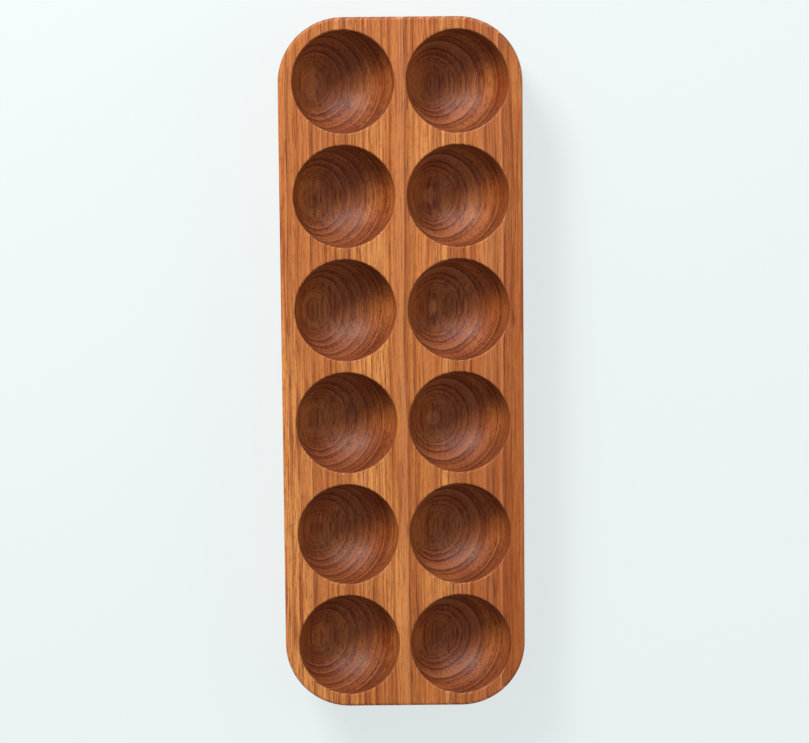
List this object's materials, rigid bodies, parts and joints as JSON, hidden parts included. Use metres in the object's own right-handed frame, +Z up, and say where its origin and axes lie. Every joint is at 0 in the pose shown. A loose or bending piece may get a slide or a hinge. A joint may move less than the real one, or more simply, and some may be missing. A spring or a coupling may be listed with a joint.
{
  "type": "mancala board",
  "caption": "Round-cornered solid wood block with two rows of hemispherical pits in its top face, standing on small felt feet.",
  "frame": {"origin": "on the table, under the middle of the board: the centre of the box, at the underside of the felt feet", "axes": "+Z up out of the pits; +Y along the board's length, towards the end that is upper in a portrait view; +X across the two rows of pits"},
  "size_m": [0.105, 0.3, 0.0323],
  "materials": {
    "oiled_wood": "satin oil",
    "brown_felt": "pressed wool felt"
  },
  "bodies": {
    "root": {"board": "oiled_wood", "foot_front_left": "brown_felt", "foot_front_right": "brown_felt", "foot_back_left": "brown_felt", "foot_back_right": "brown_felt"}
  },
  "joints": []
}
